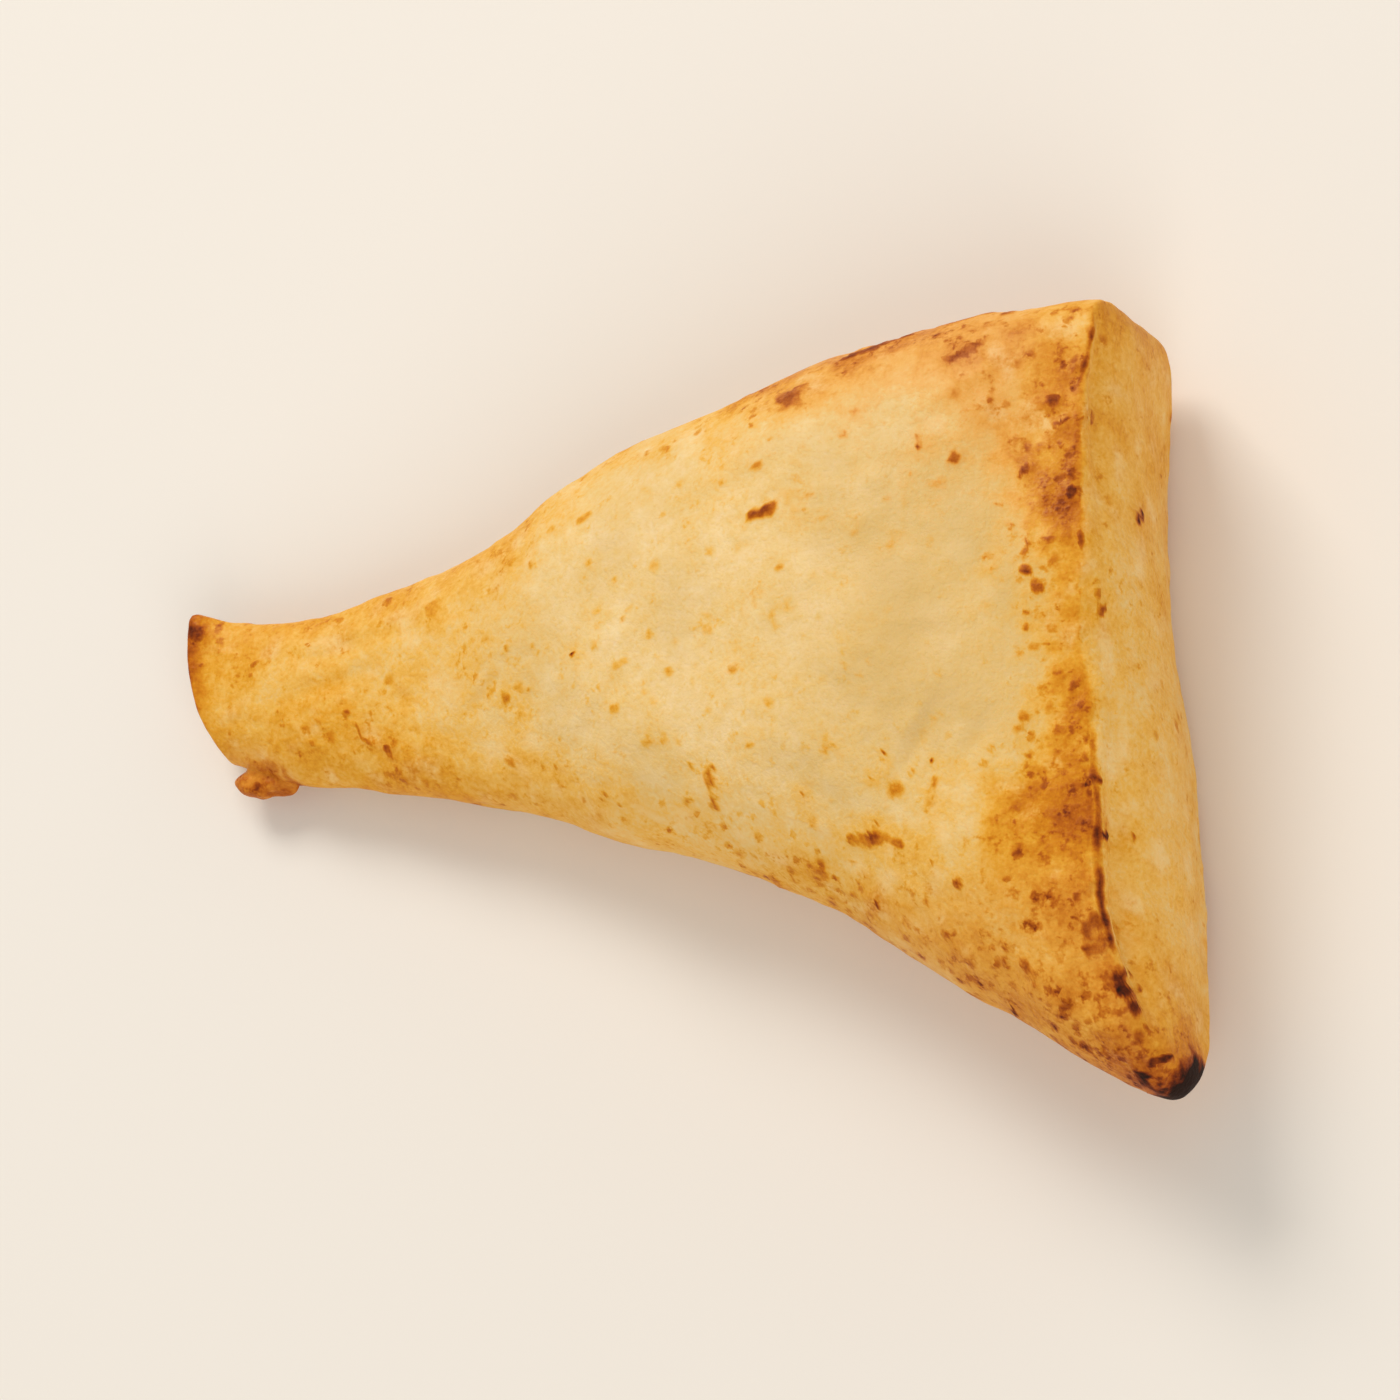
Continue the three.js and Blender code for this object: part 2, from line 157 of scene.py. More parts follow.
# Small toasted freckles on the face, the same way.
FACE_FRECKLES = [
    (-45.5, 12.3, 0.3, 0.3, 0, 0.59),
    (-44.9, 9.7, 0.3, 0.3, 0, 0.47),
    (-42.8, 13.4, 0.3, 0.3, 0, 0.47),
    (-39.7, 10.9, 0.5, 0.3, 0, 0.53),
    (-39.1, 11.9, 0.9, 0.35, 30, 0.59),
    (-37.1, 7.4, 0.4, 0.4, 0, 0.59),
    (-36.5, 6.7, 0.3, 0.3, 0, 0.53),
    (-33.8, 4.4, 0.7, 0.3, -30, 0.5),
    (-33.0, 6.0, 0.9, 0.4, -60, 0.41),
    (-33.0, 14.7, 0.6, 0.4, 0, 0.47),
    (-29.3, 5.0, 1.1, 0.3, -70, 0.59),
    (-28.3, 3.8, 0.8, 0.3, -30, 0.56),
    (-26.4, 2.5, 1.1, 0.35, -50, 0.62),
    (-26.4, 15.6, 0.7, 0.5, 20, 0.59),
    (-24.8, 2.0, 1.2, 0.35, -60, 0.59),
    (-24.8, 5.7, 0.4, 0.3, 0, 0.42),
    (-24.4, 15.2, 0.5, 0.5, 0, 0.47),
    (-22.6, 2.7, 0.6, 0.4, 0, 0.42),
    (-14.1, 0.3, 1.0, 0.6, 0, 0.47),
    (-13.9, 5.2, 1.0, 0.6, -30, 0.5),
    (-13.2, 9.0, 0.5, 0.5, 0, 0.5),
    (-12.7, 16.5, 0.8, 0.5, 0, 0.4),
    (-12.6, 3.4, 0.9, 0.6, 30, 0.35),
    (-11.4, 5.3, 0.4, 0.4, 0, 0.42),
    (-10.6, 15.7, 0.5, 0.5, 0, 0.45),
    (-10.3, 8.7, 0.4, 0.4, 0, 0.42),
    (-9.7, -1.0, 0.5, 0.4, 0, 0.45),
    (-8.6, 18.5, 0.7, 0.5, 20, 0.4),
    (-5.5, -4.3, 0.4, 0.4, 0, 0.59),
    (-5.4, 18.7, 0.8, 0.6, 20, 0.42),
    (-4.6, 14.6, 0.4, 0.3, 0, 0.41),
    (-3.9, 10.5, 0.5, 0.4, 0, 0.41),
    (-3.5, -4.9, 0.4, 0.3, 0, 0.59),
    (-2.4, 2.2, 0.7, 0.5, 0, 0.42),
    (-2.0, 17.2, 0.5, 0.4, 0, 0.35),
    (-1.9, 5.6, 0.8, 0.6, 40, 0.35),
    (-1.9, 12.9, 0.4, 0.3, 0, 0.39),
    (-1.2, 9.4, 0.4, 0.4, 0, 0.45),
    (0.0, 24.1, 0.7, 0.6, 0, 0.47),
    (0.7, -0.8, 0.9, 0.8, 0, 0.38),
    (1.4, 7.8, 0.7, 0.6, 0, 0.35),
    (1.8, 27.8, 1.2, 0.6, 20, 0.41),
    (2.0, 24.0, 1.0, 0.8, 0, 0.5),
    (2.9, 4.5, 0.8, 0.5, -20, 0.42),
    (3.5, -5.8, 0.4, 0.4, 0, 0.59),
    (4.5, -3.4, 0.4, 0.4, 0, 0.53),
    (6.1, -4.6, 1.2, 0.7, 80, 0.6),
    (6.2, -6.3, 0.8, 0.7, 0, 0.66),
    (6.3, 18.2, 0.4, 0.3, 0, 0.47),
    (7.0, 7.1, 0.8, 0.6, 0, 0.32),
    (9.3, -12.0, 0.6, 0.5, 0, 0.53),
    (9.4, 3.7, 0.8, 0.6, -30, 0.42),
    (10.7, -2.9, 0.5, 0.4, 0, 0.41),
    (11.7, 20.4, 0.8, 0.5, 20, 0.5),
    (11.8, -12.4, 0.5, 0.4, 0, 0.53),
    (11.9, 8.7, 1.0, 0.6, 90, 0.35),
    (11.9, 9.6, 0.3, 0.3, 0, 0.42),
    (14.3, 11.2, 0.6, 0.5, 0, 0.5),
    (16.6, 16.0, 0.4, 0.3, 0, 0.47),
    (16.8, 17.1, 0.5, 0.4, 0, 0.45),
    (18.1, -14.9, 1.2, 0.4, -20, 0.5),
    (18.1, -4.3, 0.7, 0.6, 0, 0.39),
    (18.3, 14.9, 0.4, 0.3, 0, 0.45),
    (18.9, -16.7, 0.5, 0.4, 0, 0.59),
    (19.0, -4.2, 0.4, 0.4, 0, 0.35),
    (19.2, -11.2, 1.0, 0.5, 20, 0.59),
    (19.9, 22.0, 0.5, 0.4, 0, 0.53),
    (20.0, 9.1, 0.4, 0.4, 0, 0.39),
    (20.4, 2.2, 0.6, 0.5, 0, 0.39),
    (20.4, 3.3, 0.8, 0.6, 80, 0.35),
    (20.8, 24.1, 0.6, 0.5, 0, 0.47),
    (21.2, 13.4, 0.8, 0.4, 0, 0.35),
    (21.7, 1.3, 0.4, 0.4, 0, 0.41),
    (21.9, -10.5, 0.4, 0.3, 0, 0.59),
    (23.9, 16.1, 0.6, 0.4, 0, 0.4),
    (24.1, 12.1, 0.8, 0.6, 0, 0.4),
    (24.2, 6.5, 0.6, 0.5, 0, 0.29),
    (24.3, -8.1, 1.0, 0.8, 0, 0.5),
    (24.8, -17.0, 0.4, 0.3, 0, 0.47),
    (25.8, -17.0, 0.5, 0.5, 0, 0.5),
    (25.8, -7.1, 0.5, 0.4, 0, 0.47),
    (25.8, 18.0, 0.3, 0.3, 0, 0.59),
    (26.3, 21.4, 0.5, 0.4, 0, 0.59),
    (26.9, -10.3, 0.4, 0.4, 0, 0.5),
    (27.1, -14.4, 0.3, 0.3, 0, 0.53),
    (27.1, -8.7, 0.6, 0.5, 0, 0.47),
    (27.1, -4.1, 1.2, 0.8, 60, 0.29),
    (27.2, -19.7, 0.8, 0.7, 0, 0.59),
    (27.6, -9.5, 0.3, 0.3, 0, 0.47),
    (27.7, -17.1, 0.3, 0.3, 0, 0.47),
    (27.8, -20.8, 0.7, 0.5, 30, 0.59),
    (27.8, -8.3, 1.2, 0.5, 80, 0.47),
    (28.0, -3.0, 1.2, 0.6, 60, 0.35),
    (28.2, 17.1, 1.0, 0.8, 0, 0.39),
    (28.7, 0.7, 0.6, 0.5, 0, 0.35),
    (29.4, -16.3, 0.8, 0.6, 40, 0.68),
    (29.6, 19.3, 0.7, 0.6, 60, 0.59),
    (30.6, 5.8, 0.4, 0.3, 0, 0.41),
    (31.6, -22.7, 0.5, 0.4, 0, 0.59),
    (32.3, -7.1, 0.6, 0.5, 0, 0.42),
    (32.5, -22.6, 0.9, 0.6, 60, 0.65),
    (32.5, -8.1, 0.5, 0.3, 0, 0.42),
    (32.8, -21.5, 0.5, 0.4, 0, 0.65),
    (33.0, -5.9, 0.5, 0.4, 0, 0.47),
    (33.4, 15.0, 0.8, 0.4, 0, 0.45),
    (33.7, -24.2, 0.6, 0.5, 0, 0.53),
    (33.7, -11.6, 0.6, 0.3, 30, 0.47),
    (34.1, 30.1, 0.4, 0.3, 0, 0.59),
    (34.3, -23.2, 1.2, 0.8, -50, 0.66),
    (34.4, -12.4, 1.0, 0.3, 20, 0.5),
    (34.5, 12.8, 0.5, 0.4, 0, 0.5),
    (34.5, 20.1, 1.0, 0.8, 0, 0.5),
    (34.9, -9.7, 0.4, 0.3, 0, 0.47),
    (35.0, -24.6, 1.2, 0.6, 80, 0.59),
    (35.2, -4.4, 0.6, 0.5, 0, 0.47),
    (35.7, -23.8, 0.5, 0.4, 0, 0.53),
    (35.7, 31.1, 0.4, 0.3, 0, 0.59),
    (35.8, -3.3, 0.8, 0.7, 50, 0.5),
    (35.8, 4.3, 0.4, 0.4, 60, 0.59),
    (35.8, 5.4, 0.5, 0.3, 20, 0.59),
    (35.8, 11.9, 0.5, 0.3, 60, 0.5),
    (35.9, 10.9, 0.8, 0.5, 60, 0.59),
    (36.4, 2.6, 0.8, 0.5, 0, 0.47),
    (36.7, -3.1, 0.4, 0.3, 0, 0.47),
    (36.8, 19.4, 1.1, 0.8, 20, 0.53),
    (37.1, 15.9, 1.2, 0.8, 30, 0.42),
    (37.5, 13.7, 0.6, 0.5, 0, 0.53),
    (37.6, 2.8, 0.9, 0.4, -20, 0.53),
    (37.8, -9.8, 1.2, 0.8, 0, 0.42),
    (37.8, -2.5, 1.0, 0.8, 70, 0.46),
    (37.9, 3.9, 0.8, 0.7, 30, 0.5),
    (38.0, -17.2, 0.9, 0.6, 0, 0.53),
    (38.3, 30.2, 0.5, 0.4, 0, 0.5),
    (38.4, 28.2, 0.7, 0.6, 0, 0.59),
    (38.5, 25.6, 0.8, 0.4, 80, 0.53),
    (38.6, -4.4, 1.1, 0.8, 0, 0.62),
    (38.6, 0.3, 1.2, 0.7, 0, 0.62),
    (39.4, 17.6, 1.0, 0.6, 80, 0.59),
    (39.4, 26.2, 0.9, 0.4, 80, 0.59),
    (39.7, -16.4, 0.5, 0.4, 0, 0.53),
    (39.8, -0.9, 1.2, 0.7, 60, 0.62),
    (40.2, -2.6, 1.2, 0.5, 80, 0.66),
    (40.9, -17.4, 0.5, 0.4, 0, 0.47),
    (41.0, -20.3, 1.2, 0.5, 80, 0.59),
]
# Scorched marks on the wall: [y, z, half length, half width, heading in degrees, darkness].
WALL_MARKS = [
    (-29.0, 13.7, 0.4, 0.3, 0, 0.45),
    (-28.9, 15.9, 0.8, 0.5, 30, 0.6),
    (-27.8, 15.1, 0.3, 0.3, 0, 0.5),
    (-27.4, 11.0, 0.3, 0.3, 0, 0.5),
    (-26.7, 12.5, 0.3, 0.3, 0, 0.45),
    (-26.6, 18.0, 0.4, 0.3, 0, 0.6),
    (-25.5, 16.7, 0.7, 0.4, 20, 0.7),
    (-24.6, 9.9, 0.6, 0.4, 80, 0.45),
    (-23.9, 15.8, 0.3, 0.3, 0, 0.4),
    (-23.7, 12.6, 0.3, 0.3, 0, 0.4),
    (-22.5, 13.2, 2.0, 1.0, 10, 0.28),
    (-19.2, 14.6, 0.4, 0.3, 0, 0.5),
    (-17.7, 17.7, 0.3, 0.3, 0, 0.35),
    (-17.5, 11.8, 0.3, 0.3, 0, 0.4),
    (-15.1, 14.9, 0.5, 0.4, 0, 0.3),
    (-13.3, 20.3, 0.9, 0.5, 80, 0.95),
    (-12.9, 17.4, 0.45, 0.4, 0, 0.85),
    (-12.0, 6.1, 0.3, 0.3, 0, 0.5),
    (-8.7, 21.0, 0.8, 0.5, 80, 0.8),
    (-8.0, 6.5, 1.0, 0.6, -20, 0.4),
    (-2.0, 8.0, 0.8, 0.5, 20, 0.4),
    (0.1, 12.4, 0.5, 0.4, 0, 0.35),
    (5.1, 17.3, 0.3, 0.3, 0, 0.4),
    (5.5, 15.6, 0.3, 0.3, 0, 0.4),
    (5.7, 20.1, 1.1, 0.5, -30, 0.75),
    (7.0, 20.5, 0.8, 0.4, 20, 0.55),
    (9.0, 9.5, 0.9, 0.5, 60, 0.4),
    (9.2, 13.8, 0.4, 0.3, 60, 0.4),
    (14.3, 18.2, 0.3, 0.3, 0, 0.5),
    (15.1, 17.6, 0.3, 0.3, 0, 0.4),
    (15.2, 14.2, 1.4, 0.7, -50, 1.0),
    (20.7, 7.3, 1.0, 0.4, 80, 0.6),
    (22.6, 19.8, 0.8, 0.3, 0, 0.6),
    (23.1, 9.3, 0.5, 0.4, 0, 0.45),
    (23.9, 10.1, 0.7, 0.5, 60, 0.42),
    (25.4, 14.6, 1.0, 0.5, 10, 0.6),
    (28.5, 8.0, 1.0, 0.4, 50, 0.4),
    (29.8, 6.1, 0.6, 0.6, 0, 0.3),
]

# How dark the line along the lip is, partly scorch and partly painted shade standing for the slit under the
# raw edge: [y, darkness].
LIP_SCORCH_AND_SLIT_SHADE = [
    (-29.0, 0.3),
    (-27.8, 0.75),
    (-26.5, 0.9),
    (-24.6, 0.95),
    (-23.6, 0.62),
    (-22.2, 0.84),
    (-20.3, 0.9),
    (-18.6, 0.82),
    (-17.6, 0.76),
    (-16.2, 0.68),
    (-14.6, 0.74),
    (-13.8, 0.88),
    (-12.6, 0.76),
    (-11.0, 0.62),
    (-9.4, 0.68),
    (-8.4, 0.86),
    (-7.2, 0.55),
    (-4.0, 0.4),
    (2.0, 0.15),
    (17.0, 0.15),
    (22.0, 0.2),
    (25.2, 0.4),
    (26.4, 0.78),
    (31.0, 0.86),
    (31.8, 0.7),
]
# How far browning reaches in from the lip, in mm, and how strong it is: [y, reach, strength].
LIP_BROWNING = [
    (-32.0, 3.5, 0.25),
    (-26.0, 5.0, 0.28),
    (-20.0, 6.0, 0.28),
    (-16.0, 6.5, 0.38),
    (-13.0, 6.6, 0.58),
    (-9.5, 6.8, 0.6),
    (-6.5, 5.5, 0.34),
    (-4.0, 5.0, 0.28),
    (-1.0, 5.0, 0.4),
    (3.0, 4.6, 0.3),
    (6.0, 6.5, 0.22),
    (9.0, 7.0, 0.28),
    (14.0, 6.0, 0.44),
    (18.0, 7.5, 0.52),
    (24.0, 8.5, 0.42),
    (28.0, 8.5, 0.22),
    (31.0, 10.0, 0.12),
]

# Shallow creases in the face: [start x, start y, end x, end y, depth, width].
CREASES = [
    (24.5, -7.6, 28.6, -1.8, 0.26, 0.7),
    (-17.8, 4.6, -14.2, 7.2, 0.19, 0.6),
    (30.4, -7.0, 33.0, -3.0, 0.19, 0.8),
    (-6.0, 0.5, -1.0, 5.0, 0.16, 0.9),
    (-37.0, 8.0, -27.0, 9.6, 0.19, 0.9),
    (-35.5, 11.6, -24.0, 12.4, 0.16, 0.8),
    (4.0, 17.0, 16.0, 21.5, 0.16, 1.2),
    (26.0, 22.0, 33.0, 25.5, 0.19, 1.0),
    (12.0, -4.5, 20.0, -9.5, 0.16, 1.1),
]

# ---------------------------------------------------------------- values that change over the dough


def smooth(value, low, high):
    """0 below low, 1 above high, and a smooth ramp between."""
    share = np.clip((value - low) / (high - low), 0, 1)
    return share * share * (3 - 2 * share)


def along(table, at, column=1):
    """A column of a table, read at values of its first column, with straight ramps between the rows."""
    columns = np.array(table).T
    return np.interp(at, columns[0], columns[column])


def eased(table, at):
    """The value at a place, from a table of [place, value] with smooth ramps between its rows."""
    value = table[0][1]
    for (start, before), (end, after) in zip(table, table[1:]):
        value = value + (after - before) * smooth(at, start, end)
    return value


def bell(distance, reach):
    """1 at no distance, and fading away past the reach."""
    return np.exp(-((distance / reach) ** 2))


def either(*shares):
    """The share that any of several overlapping layers covers."""
    left = 1
    for share in shares:
        left = left * (1 - share)
    return 1 - left


# ---------------------------------------------------------------- the dough's mesh

MERGE_DISTANCE = 0.005 * MM
SUBDIVISIONS = 2


def refined_dough():
    """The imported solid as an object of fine, smooth quads."""
    sheet = bmesh.new()
    sheet.from_mesh(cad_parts["samosa"].data)
    bmesh.ops.remove_doubles(sheet, verts=sheet.verts, dist=MERGE_DISTANCE)
    bmesh.ops.join_triangles(
        sheet,
        faces=sheet.faces,
        angle_face_threshold=math.pi,
        angle_shape_threshold=math.pi,
    )
    mesh = bpy.data.meshes.new("baked_dough")
    sheet.to_mesh(mesh)
    sheet.free()
    dough = bpy.data.objects.new("baked_dough", mesh)
    bpy.context.scene.collection.objects.link(dough)
    finer = dough.modifiers.new("finer", "SUBSURF")
    finer.levels = finer.render_levels = SUBDIVISIONS
    depsgraph = bpy.context.evaluated_depsgraph_get()
    dough.data = bpy.data.meshes.new_from_object(dough.evaluated_get(depsgraph))
    dough.modifiers.clear()
    dough.data.shade_smooth()
    return dough


# ---------------------------------------------------------------- the dough's skin

# How much a vertex belongs to each side: [how far its normal points that way, share].
WALL_FACING = [(0.2, 0.0), (0.8, 1.0)]
FACE_FACING = [(0.1, 0.0), (0.5, 1.0)]
BACK_FACING = [(0.2, 0.0), (0.6, 1.0)]
# Where the wall begins: [x, share].
WALL_START = [(34, 0.0), (38, 1.0)]
# Waves along the wall's edge: [length in mm, seed, strength].
WALL_EDGE = [(3.0, 45.0, 0.15)]
# How the raw edge strays in X: [how far, length of its waves in mm, phase].
LIP_STRAY = [(0.2, 3.1, 0.6), (0.15, 1.7, 2.0), (0.1, 0.9, 0.0)]
LIP_STRAY_START = 10.13
# Below this height, in mm, the dough rests and is flat.
RESTING_HEIGHT = 0.02


def lip_stray(y):
    """How far the raw edge strays in X, in mm."""
    place = y - LIP_STRAY_START
    return sum(far * np.sin(place / length + phase) for far, length, phase in LIP_STRAY)


class Skin:
    """The dough's vertices as arrays in mm, with the masks that its relief and colours share."""

    def __init__(self, dough):
        self.mesh = dough.data
        flat = np.empty(len(self.mesh.vertices) * 3)
        self.mesh.vertices.foreach_get("co", flat)
        self.points = flat.reshape(-1, 3) / MM
        self.mesh.vertex_normals.foreach_get("vector", flat)
        self.normals = flat.reshape(-1, 3).copy()
        self.x, self.y, self.z = self.points.T.copy()
        to_x, _, to_z = self.normals.T
        to_wall = to_x + self.layers(WALL_EDGE)
        self.wall = eased(WALL_FACING, to_wall) * eased(WALL_START, self.x)
        self.face = eased(FACE_FACING, to_z) * (1 - self.wall)
        self.back = eased(BACK_FACING, -to_z) * (1 - self.wall)
        self.from_lip = np.abs(self.x - along(LIP, self.y) - lip_stray(self.y))
        self.lip_gap = np.hypot(self.from_lip, self.z - along(LIP, self.y, 2))
        self.from_north = np.maximum(along(NORTH_FOLD, self.x) - self.y, 0)
        self.from_south = np.maximum(self.y - along(SOUTH_FOLD, self.x), 0)

    def waves(self, length, seed):
        """Smooth noise from -1 to 1, with waves about this long."""
        places = self.points / length + seed
        return np.array([noise.noise(place) for place in places])

    def layers(self, table):
        """Waves of several lengths on top of each other."""
        return sum(strength * self.waves(length, seed) for length, seed, strength in table)

    def distance(self, place):
        """How far each vertex is from a place."""
        return np.linalg.norm(self.points - np.array(place), axis=1)

    def near(self, place, radius):
        """1 at a place, fading to 0 at the radius."""
        return np.clip(1 - self.distance(place) / radius, 0, 1)

    def store(self, name, values):
        """Keeps a value for each vertex, for the material to read."""
        layer = self.mesh.attributes.new(name, "FLOAT", "POINT")
        layer.data.foreach_set("value", values.astype(np.float32))

    def move(self, height):
        """Raises the surface by a height in mm for each vertex, and keeps the resting patch flat."""
        moved = self.points + self.normals * height[:, None]
        moved[:, 2] = np.where(self.z < RESTING_HEIGHT, 0, np.maximum(moved[:, 2], 0))
        self.mesh.vertices.foreach_set("co", (moved * MM).ravel())
        self.mesh.update()


# ---------------------------------------------------------------- scorched marks, some partly painted slit shade

# How dark a mark is, [distance from its middle against its half length and width, share], the waves
# that make its edge ragged, and how far it and its halo can reach.
MARK_FADE = [(0.3, 1.0), (1.3, 0.0)]
MARK_EDGES = [(1.3, 61.0, 0.5), (0.7, 62.0, 0.45)]
MARK_REACH = 2.2
# The toasted halo round a mark, the same way, with a half length and width this much larger in mm.
HALO_FADE = [(0.0, 1.0), (1.5, 0.0)]
HALO_WIDTH = 0.9
# The marks on the wall stay where the dough faces it at least this much.
WALL_MARKS_FACING = 0.3


def marks(skin, across, up, table, shown):
    """Scorched marks, a few partly painted slit shade, with ragged edges and the wider toasted halo round
    each.
    """
    ragged = skin.layers(MARK_EDGES)
    scorch_and_slit_shade = np.zeros(len(across))
    halo = np.zeros(len(across))
    for centre_across, centre_up, half_length, half_width, heading, darkness in table:
        turn = math.radians(heading)
        distance = np.hypot(across - centre_across, up - centre_up)
        near = shown & (distance < MARK_REACH * (half_length + half_width))
        u = across[near] - centre_across
        v = up[near] - centre_up
        lengthwise = u * math.cos(turn) + v * math.sin(turn)
        sideways = v * math.cos(turn) - u * math.sin(turn)
        spot = np.hypot(lengthwise / half_length, sideways / half_width) - ragged[near]
        scorch_and_slit_shade[near] = np.maximum(scorch_and_slit_shade[near], darkness * eased(MARK_FADE, spot))
        halo_length = half_length + HALO_WIDTH
        halo_width = half_width + HALO_WIDTH
        ring = np.hypot(lengthwise / halo_length, sideways / halo_width)
        halo[near] = np.maximum(halo[near], darkness * along(HALO_FADE, ring))
    return scorch_and_slit_shade, halo


def scorch_and_slit_shade_marks(skin):
    """The scorched marks on the face, a few partly painted shade of the slit at the lip, and on the wall,
    with their halos.
    """
    facing_wall = skin.normals[:, 0] > WALL_MARKS_FACING
    # A few face marks by the lip near the pinched corner are partly painted shade of the slit.
    on_face = marks(skin, skin.x, skin.y, FACE_MARKS + FACE_FRECKLES, skin.normals[:, 2] > 0)
    on_wall = marks(skin, skin.y, skin.z, WALL_MARKS, facing_wall)
    return np.maximum(on_face, on_wall)


# ---------------------------------------------------------------- relief, in mm

# Tables of waves are [length in mm, seed, strength].
LEATHER = [(6.0, 3.1, 0.1), (2.8, 8.4, 0.09), (1.4, 5.7, 0.07)]
# Blisters: their waves [length, seed], their height [wave, height], and how near to the south fold
# they lie.
BLISTERS = (2.2, 12.9)
BLISTER_HEIGHT = [(0.25, 0.0), (0.7, 0.14)]
BLISTER_FREE = 3.0
# The dough is burst up where it is scorched: [scorch, height].
BURST_HEIGHT = [(0.1, 0.0), (0.8, 0.16)]
LIP_TATTERS = [(1.7, 21.0, 0.25), (0.9, 31.0, 0.15)]
# How far the tatters reach: [distance from the lip, share].
TATTER_FADE = [(0.0, 1.0), (1.4, 0.0)]
FLAKE_CRUMBS = [(1.1, 161.0, 0.25), (0.6, 165.0, 0.12)]
CRUMB_RADIUS = 4.4
CREASE_STRAY = [(4.0, 151.0, 0.5)]
# A crease fades over this share of its length, and its raised edge is this much of its depth and
# this many widths beside it.
CREASE_FADE = 0.3
EDGE_SHARE = 0.5
EDGE_PLACE = 1.6


def creases(skin):
    """Shallow folds pressed into the skin, with a raised edge beside each of them."""
    height = np.zeros(len(skin.x))
    stray = skin.layers(CREASE_STRAY)
    for start_x, start_y, end_x, end_y, depth, width in CREASES:
        run_x = end_x - start_x
        run_y = end_y - start_y
        length = math.hypot(run_x, run_y)
        u = (skin.x - start_x) * run_x / length + (skin.y - start_y) * run_y / length
        v = (skin.y - start_y) * run_x / length - (skin.x - start_x) * run_y / length + stray
        fade = CREASE_FADE * length
        ends = smooth(u, -fade, fade) * smooth(length - u, -fade, fade)
        groove = bell(v, width)
        edge = EDGE_SHARE * bell(v - EDGE_PLACE * width, width)
        height -= skin.face * depth * ends * (groove - edge)
    return height


def relief(skin, scorch_and_slit_shade):
    """Leathery waves, low blisters, burst marks, creases, crumbs and a ragged lip."""
    leathery = skin.layers(LEATHER)
    blisters = eased(BLISTER_HEIGHT, skin.waves(*BLISTERS)) * (1 - bell(skin.from_south, BLISTER_FREE))
    burst = eased(BURST_HEIGHT, scorch_and_slit_shade)
    tatters = along(TATTER_FADE, skin.lip_gap) * skin.layers(LIP_TATTERS)
    crumbs = skin.near(FLAKE, CRUMB_RADIUS) * skin.layers(FLAKE_CRUMBS)
    return leathery + blisters + burst + tatters + crumbs + creases(skin)


# ---------------------------------------------------------------- how far the dough is baked

# 0 is pale cream and 1 is dark brown. The waves are [length in mm, seed].
BROAD = (11.0, 40.0)
PATCHY = (5.0, 50.0)
FINE = (2.2, 55.0)
FINER = (1.1, 57.0)

# Plain dough, with the wall's as [y, level], and what broad, patchy and fine waves add to it.
FACE_BAKE = 0.105
FACE_WAVES = (0.04, 0.04, 0.0)
WALL_BAKE = [(-30, 0.38), (-18, 0.25), (2, 0.25), (16, 0.31), (26, 0.31), (34, 0.45)]
WALL_WAVES = (0.0, 0.05, 0.05)
BACK_BAKE = 0.3
BACK_WAVES = (0.14, 0.06, 0.0)

# Browning along the two long folds: [x, strength], and how far it reaches in, in mm.
NORTH_BROWNING = [(-2, 0.13), (20, 0.38), (31, 0.38), (37, 0.12)]
NORTH_REACH = 6.0
SOUTH_BROWNING = [(18, 0.15), (36, 0.27)]
SOUTH_REACH = 4.2
# It is uneven: the fine waves multiply it [wave, factor], with a share of the finer ones, the patchy
# waves add to that factor, and the tail is less uneven [x, share].
FINE_BROWNING = [(-0.4, 0.75), (0.5, 1.25)]
FINER_SHARE = 0.5
PATCHY_BROWNING = 0.3
UNEVENNESS = [(-12, 0.35), (14, 1.0)]
# Low on the face it is browner: [x, share] times [y, strength].
LOW_PART = [(-6, 0.0), (22, 1.0)]
LOW_BROWNING = [(-16, 0.14), (-2, 0.0)]
# The tail is gilded: [x, share] times [mm from the south fold, strength], and more: [x, strength].
TAIL_PART = [(-34, 1.0), (-2, 0.0)]
TAIL_GILDING = [(0, 0.09), (9, 0.05)]
TAIL_BROWNING = [(-18, 0.08), (-2, 0.0)]

# Round the pinched tip: [mm from it, strength].
TIP_BROWNING = [(0.7, 0.16), (7.0, 0.0)]
HALO_BROWNING = 0.12
# The flake: its radius, its edge as [nearness, share], where it ends as [y, share], and how far it
# is baked.
FLAKE_RADIUS = 4.6
FLAKE_EDGE = [(0.02, 0.0), (0.25, 1.0)]
FLAKE_END = [(3.4, 1.0), (4.4, 0.0)]
FLAKE_BAKE = 0.66
FLAKE_WAVES = [(1.1, 58.0, 0.4)]
# The rim at the tail's open end.
RIM_BROWNING = 0.3
RIM_REACH = 1.3
# And all over:
MOTTLE = [(3.4, 100.0, 0.07), (1.6, 105.0, 0.04)]
# Past this level browning is held back to this share, so that only the marks go dark.
HELD_FROM = 0.5
HELD_SHARE = 0.4


